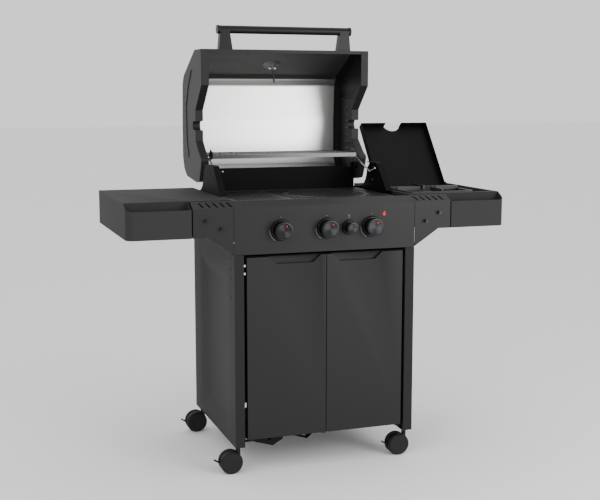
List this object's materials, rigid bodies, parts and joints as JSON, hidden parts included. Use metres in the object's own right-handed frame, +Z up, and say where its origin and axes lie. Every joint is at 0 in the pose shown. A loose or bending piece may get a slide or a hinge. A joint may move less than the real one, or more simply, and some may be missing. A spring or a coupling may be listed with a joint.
{
  "type": "gas barbecue grill",
  "caption": "Gas barbecue on a cabinet with doors and casters: hinged lid shown open, warming rack, cast grates, control knobs, side shelves and a covered side burner.",
  "frame": {"origin": "on the floor under the centre of the whole object as it stands with its main lid open", "axes": "+X to the right seen from the front, +Y to the back, +Z up"},
  "size_m": [1.316, 0.7466, 1.478],
  "materials": {
    "powder_coat": "fine charcoal powder coat",
    "cast_coat": "heat-resistant coat on castings",
    "black_coat": "matt black powder coat",
    "cast_iron": "seasoned matt",
    "brushed_steel": "brushed stainless",
    "bright_wire": "bright plated",
    "screw_steel": "zinc plated",
    "handle_coat": "satin black",
    "gauge_metal": "satin",
    "knob_plastic": "moulded, semi-gloss",
    "brass": "machined",
    "zinc_plate": "galvanised",
    "black_plastic": "moulded"
  },
  "bodies": {
    "cabinet": {"side_panel_left": "powder_coat", "side_panel_right": "powder_coat", "back_panel": "powder_coat", "bottom_panel": "black_coat", "bottle_trough": "black_coat", "cabinet_frame": "black_coat", "door_head_rail": "black_coat", "hinge_pins": "bright_wire", "magnet_catches": "black_plastic", "control_panel": "powder_coat", "fascia_left": "powder_coat", "fascia_right": "powder_coat", "fascia_hooks": "knob_plastic", "knob_bezels": "knob_plastic", "gas_manifold": "brass", "side_shelf_left": "powder_coat", "side_shelf_right": "powder_coat", "side_burner": "cast_iron", "firebox": "cast_coat", "flame_tamers": "brushed_steel", "burner_tubes": "brushed_steel", "screws": "screw_steel", "caster_sockets": "zinc_plate"},
    "lid": {"lid_skin": "powder_coat", "lid_cap_left": "cast_coat", "lid_cap_right": "cast_coat", "lid_liner": "brushed_steel", "lid_handle": "handle_coat", "thermometer": "gauge_metal", "lid_screws": "screw_steel"},
    "rack_legs": {"rack_legs": "bright_wire"},
    "warming_rack": {"warming_rack": "bright_wire"},
    "side_burner_lid": {"side_burner_lid": "black_coat"},
    "door_left": {"door_left": "powder_coat"},
    "door_right": {"door_right": "powder_coat"},
    "grease_tray": {"grease_tray": "zinc_plate"},
    "grate_left": {"grate_left": "cast_iron"},
    "grate_right": {"grate_right": "cast_iron"},
    "grate_insert": {"grate_insert": "cast_iron"},
    "pan_support": {"pan_support": "cast_iron"},
    "valve_plug_left": {"valve_plug_left": "brass"},
    "knob_left": {"knob_left": "knob_plastic"},
    "valve_plug_middle": {"valve_plug_middle": "brass"},
    "knob_middle": {"knob_middle": "knob_plastic"},
    "valve_plug_side_burner": {"valve_plug_side_burner": "brass"},
    "knob_side_burner": {"knob_side_burner": "knob_plastic"},
    "valve_plug_right": {"valve_plug_right": "brass"},
    "knob_right": {"knob_right": "knob_plastic"},
    "caster_front_left_housing": {"caster_front_left_housing": "black_plastic"},
    "caster_front_left_wheels": {"caster_front_left_wheels": "black_plastic"},
    "caster_front_left_brake": {"caster_front_left_brake": "black_plastic"},
    "caster_front_right_housing": {"caster_front_right_housing": "black_plastic"},
    "caster_front_right_wheels": {"caster_front_right_wheels": "black_plastic"},
    "caster_front_right_brake": {"caster_front_right_brake": "black_plastic"},
    "caster_rear_left_housing": {"caster_rear_left_housing": "black_plastic"},
    "caster_rear_left_wheels": {"caster_rear_left_wheels": "black_plastic"},
    "caster_rear_left_brake": {"caster_rear_left_brake": "black_plastic"},
    "caster_rear_right_housing": {"caster_rear_right_housing": "black_plastic"},
    "caster_rear_right_wheels": {"caster_rear_right_wheels": "black_plastic"},
    "caster_rear_right_brake": {"caster_rear_right_brake": "black_plastic"}
  },
  "joints": [
    {"name": "lid_hinge", "type": "hinge", "parent": "cabinet", "child": "lid", "pos_m": [0, 0.14365, 0.974], "axis": [-1, 0, 0], "range_deg": [-90, 0]},
    {"name": "rack_leg_pivot", "type": "hinge", "parent": "cabinet", "child": "rack_legs", "pos_m": [0, -0.03165, 0.9635], "axis": [-1, 0, 0], "range_deg": [-90, 0]},
    {"name": "rack_pivot", "type": "hinge", "parent": "rack_legs", "child": "warming_rack", "pos_m": [0, 0.12065, 1.014], "axis": [-1, 0, 0], "range_deg": [0, 90]},
    {"name": "side_burner_lid_hinge", "type": "hinge", "parent": "cabinet", "child": "side_burner_lid", "pos_m": [0.4869, 0.06665, 0.902], "axis": [-1, 0, 0], "range_deg": [-128, 0]},
    {"name": "door_left_hinge", "type": "hinge", "parent": "cabinet", "child": "door_left", "pos_m": [-0.265, -0.32635, 0.416], "axis": [0, 0, -1], "range_deg": [0, 110]},
    {"name": "door_right_hinge", "type": "hinge", "parent": "cabinet", "child": "door_right", "pos_m": [0.265, -0.32635, 0.416], "axis": [0, 0, 1], "range_deg": [0, 110]},
    {"name": "grease_tray_slide", "type": "slide", "parent": "cabinet", "child": "grease_tray", "axis": [0, 1, 0], "range_m": [0, 0.3]},
    {"name": "grate_left_lift", "type": "slide", "parent": "cabinet", "child": "grate_left", "axis": [0, 0, 1], "range_m": [0, 0.035]},
    {"name": "grate_right_lift", "type": "slide", "parent": "cabinet", "child": "grate_right", "axis": [0, 0, 1], "range_m": [0, 0.035]},
    {"name": "grate_insert_lift", "type": "slide", "parent": "grate_right", "child": "grate_insert", "axis": [0, 0, 1], "range_m": [0, 0.035]},
    {"name": "pan_support_lift", "type": "slide", "parent": "cabinet", "child": "pan_support", "axis": [0, 0, 1], "range_m": [0, 0.05]},
    {"name": "knob_left_turn", "type": "hinge", "parent": "cabinet", "child": "valve_plug_left", "pos_m": [-0.158, -0.31535, 0.804], "axis": [0, -1, 0], "range_deg": [0, 140]},
    {"name": "knob_left_push", "type": "slide", "parent": "valve_plug_left", "child": "knob_left", "axis": [0, 1, 0], "range_m": [0, 0.003], "stiffness_N_per_m": 1500},
    {"name": "knob_middle_turn", "type": "hinge", "parent": "cabinet", "child": "valve_plug_middle", "pos_m": [0, -0.31535, 0.804], "axis": [0, -1, 0], "range_deg": [0, 140]},
    {"name": "knob_middle_push", "type": "slide", "parent": "valve_plug_middle", "child": "knob_middle", "axis": [0, 1, 0], "range_m": [0, 0.003], "stiffness_N_per_m": 1500},
    {"name": "knob_side_burner_turn", "type": "hinge", "parent": "cabinet", "child": "valve_plug_side_burner", "pos_m": [0.078, -0.31535, 0.804], "axis": [0, -1, 0], "range_deg": [0, 140]},
    {"name": "knob_side_burner_push", "type": "slide", "parent": "valve_plug_side_burner", "child": "knob_side_burner", "axis": [0, 1, 0], "range_m": [0, 0.003], "stiffness_N_per_m": 1500},
    {"name": "knob_right_turn", "type": "hinge", "parent": "cabinet", "child": "valve_plug_right", "pos_m": [0.158, -0.31535, 0.804], "axis": [0, -1, 0], "range_deg": [0, 140]},
    {"name": "knob_right_push", "type": "slide", "parent": "valve_plug_right", "child": "knob_right", "axis": [0, 1, 0], "range_m": [0, 0.003], "stiffness_N_per_m": 1500},
    {"name": "caster_front_left_swivel", "type": "hinge", "parent": "cabinet", "child": "caster_front_left_housing", "pos_m": [-0.299, -0.30335, 0.07], "axis": [0, 0, 1], "continuous": true},
    {"name": "caster_front_left_roll", "type": "hinge", "parent": "caster_front_left_housing", "child": "caster_front_left_wheels", "pos_m": [-0.325, -0.30335, 0.0375], "axis": [0, 1, 0], "continuous": true},
    {"name": "caster_front_left_brake_lever", "type": "hinge", "parent": "caster_front_left_housing", "child": "caster_front_left_brake", "pos_m": [-0.353, -0.30335, 0.0385], "axis": [0, -1, 0], "range_deg": [0, 20]},
    {"name": "caster_front_right_swivel", "type": "hinge", "parent": "cabinet", "child": "caster_front_right_housing", "pos_m": [0.299, -0.30335, 0.07], "axis": [0, 0, 1], "continuous": true},
    {"name": "caster_front_right_roll", "type": "hinge", "parent": "caster_front_right_housing", "child": "caster_front_right_wheels", "pos_m": [0.273, -0.30335, 0.0375], "axis": [0, 1, 0], "continuous": true},
    {"name": "caster_front_right_brake_lever", "type": "hinge", "parent": "caster_front_right_housing", "child": "caster_front_right_brake", "pos_m": [0.245, -0.30335, 0.0385], "axis": [0, -1, 0], "range_deg": [0, 20]},
    {"name": "caster_rear_left_swivel", "type": "hinge", "parent": "cabinet", "child": "caster_rear_left_housing", "pos_m": [-0.299, 0.17765, 0.07], "axis": [0, 0, 1], "continuous": true},
    {"name": "caster_rear_left_roll", "type": "hinge", "parent": "caster_rear_left_housing", "child": "caster_rear_left_wheels", "pos_m": [-0.325, 0.17765, 0.0375], "axis": [0, 1, 0], "continuous": true},
    {"name": "caster_rear_left_brake_lever", "type": "hinge", "parent": "caster_rear_left_housing", "child": "caster_rear_left_brake", "pos_m": [-0.353, 0.17765, 0.0385], "axis": [0, -1, 0], "range_deg": [0, 20]},
    {"name": "caster_rear_right_swivel", "type": "hinge", "parent": "cabinet", "child": "caster_rear_right_housing", "pos_m": [0.299, 0.17765, 0.07], "axis": [0, 0, 1], "continuous": true},
    {"name": "caster_rear_right_roll", "type": "hinge", "parent": "caster_rear_right_housing", "child": "caster_rear_right_wheels", "pos_m": [0.273, 0.17765, 0.0375], "axis": [0, 1, 0], "continuous": true},
    {"name": "caster_rear_right_brake_lever", "type": "hinge", "parent": "caster_rear_right_housing", "child": "caster_rear_right_brake", "pos_m": [0.245, 0.17765, 0.0385], "axis": [0, -1, 0], "range_deg": [0, 20]}
  ],
  "couplings": [
    {"joint": "rack_leg_pivot", "follows": "lid_hinge", "ratio": 1},
    {"joint": "rack_pivot", "follows": "lid_hinge", "ratio": -1}
  ]
}
